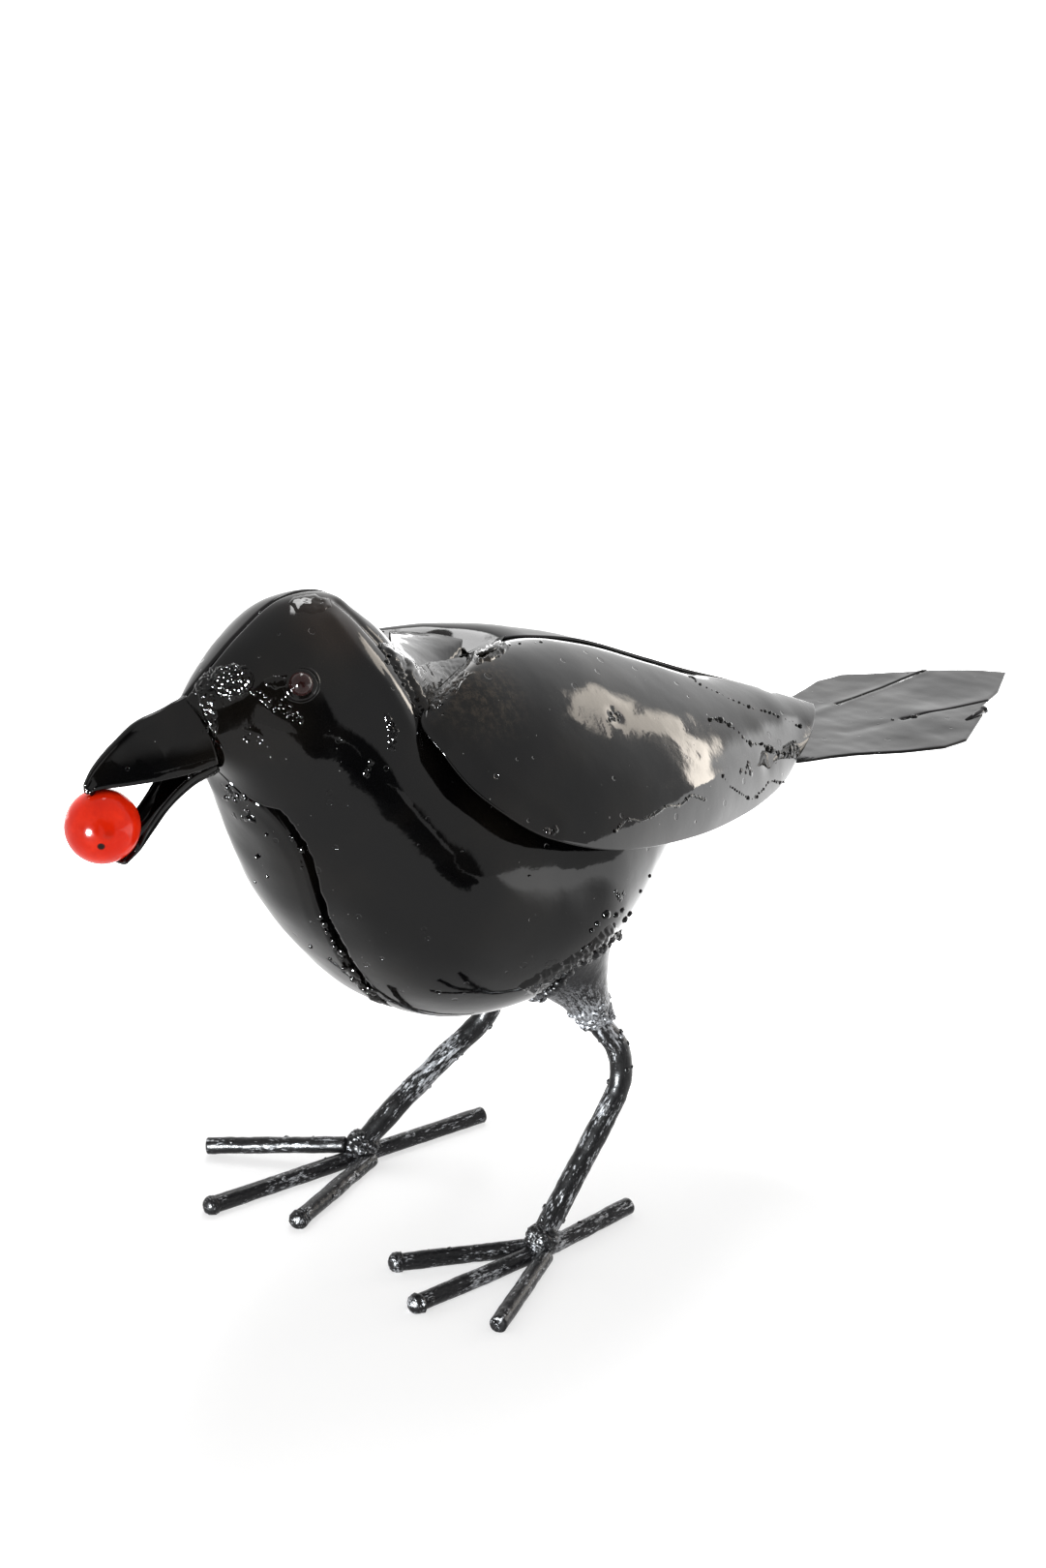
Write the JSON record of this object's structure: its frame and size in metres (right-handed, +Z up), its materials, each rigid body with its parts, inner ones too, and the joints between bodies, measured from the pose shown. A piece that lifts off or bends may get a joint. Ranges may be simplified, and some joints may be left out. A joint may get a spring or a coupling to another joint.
{
  "type": "metal bird sculpture",
  "caption": "Standing crow welded from dished sheet steel and bent rod, painted gloss black, with a red berry held in its open beak.",
  "frame": {"origin": "on the ground under the middle of the bird's bounding box", "axes": "+Z up; the bird faces -Y, its tail points to +Y, and its own left side is +X"},
  "size_m": [0.1676, 0.4226, 0.2338],
  "materials": {
    "gloss_black": "thick gloss black paint over dented sheet steel, with drips and specks",
    "brushed_silver_black": "black paint dry-brushed with silver, patchy and streaked along the rods",
    "gloss_red": "gloss red-orange paint",
    "eye_bead": "gloss dark red-brown bead"
  },
  "bodies": {
    "root": {"body_left": "gloss_black", "body_right": "gloss_black", "wing_left": "gloss_black", "wing_right": "gloss_black", "tail": "gloss_black", "upper_beak": "gloss_black", "lower_beak": "gloss_black", "berry": "gloss_red", "eye_left": "eye_bead", "eye_right": "eye_bead", "thigh_left": "brushed_silver_black", "thigh_right": "brushed_silver_black", "leg_left": "brushed_silver_black", "leg_right": "brushed_silver_black", "long_toe_left": "brushed_silver_black", "long_toe_right": "brushed_silver_black", "inner_toe_left": "brushed_silver_black", "inner_toe_right": "brushed_silver_black", "outer_toe_left": "brushed_silver_black", "outer_toe_right": "brushed_silver_black"}
  },
  "joints": []
}
